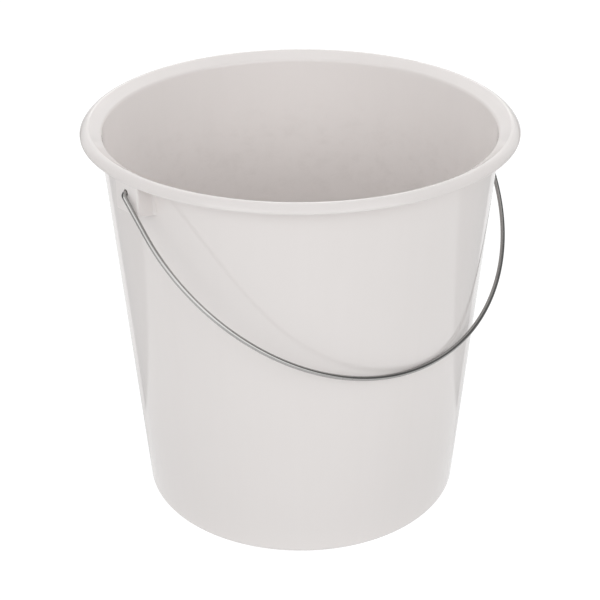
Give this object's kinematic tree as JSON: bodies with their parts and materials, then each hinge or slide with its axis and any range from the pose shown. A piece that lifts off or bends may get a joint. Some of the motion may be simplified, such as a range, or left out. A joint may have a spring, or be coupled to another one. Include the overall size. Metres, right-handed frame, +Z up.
{
  "type": "plastic bucket",
  "caption": "Round tapered bucket moulded in glossy white plastic, with a rolled rim and side lugs that carry a swinging bent wire handle.",
  "frame": {"origin": "middle of the base, on the floor the bucket stands on", "axes": "+Z up along the bucket's axis; X along the hinge line of the handle, through both lugs; the handle hangs towards -Y"},
  "size_m": [0.287, 0.28, 0.2644],
  "materials": {
    "plastic": "glossy moulded off-white plastic",
    "wire": "drawn bright wire"
  },
  "bodies": {
    "bucket": {"bucket_body": "plastic"},
    "bail": {"wire_bail": "wire"}
  },
  "joints": [
    {"name": "bail_swing", "type": "hinge", "parent": "bucket", "child": "bail", "pos_m": [0, 0, 0.2535], "axis": [-1, 0, 0], "range_deg": [0, 270.4]}
  ]
}
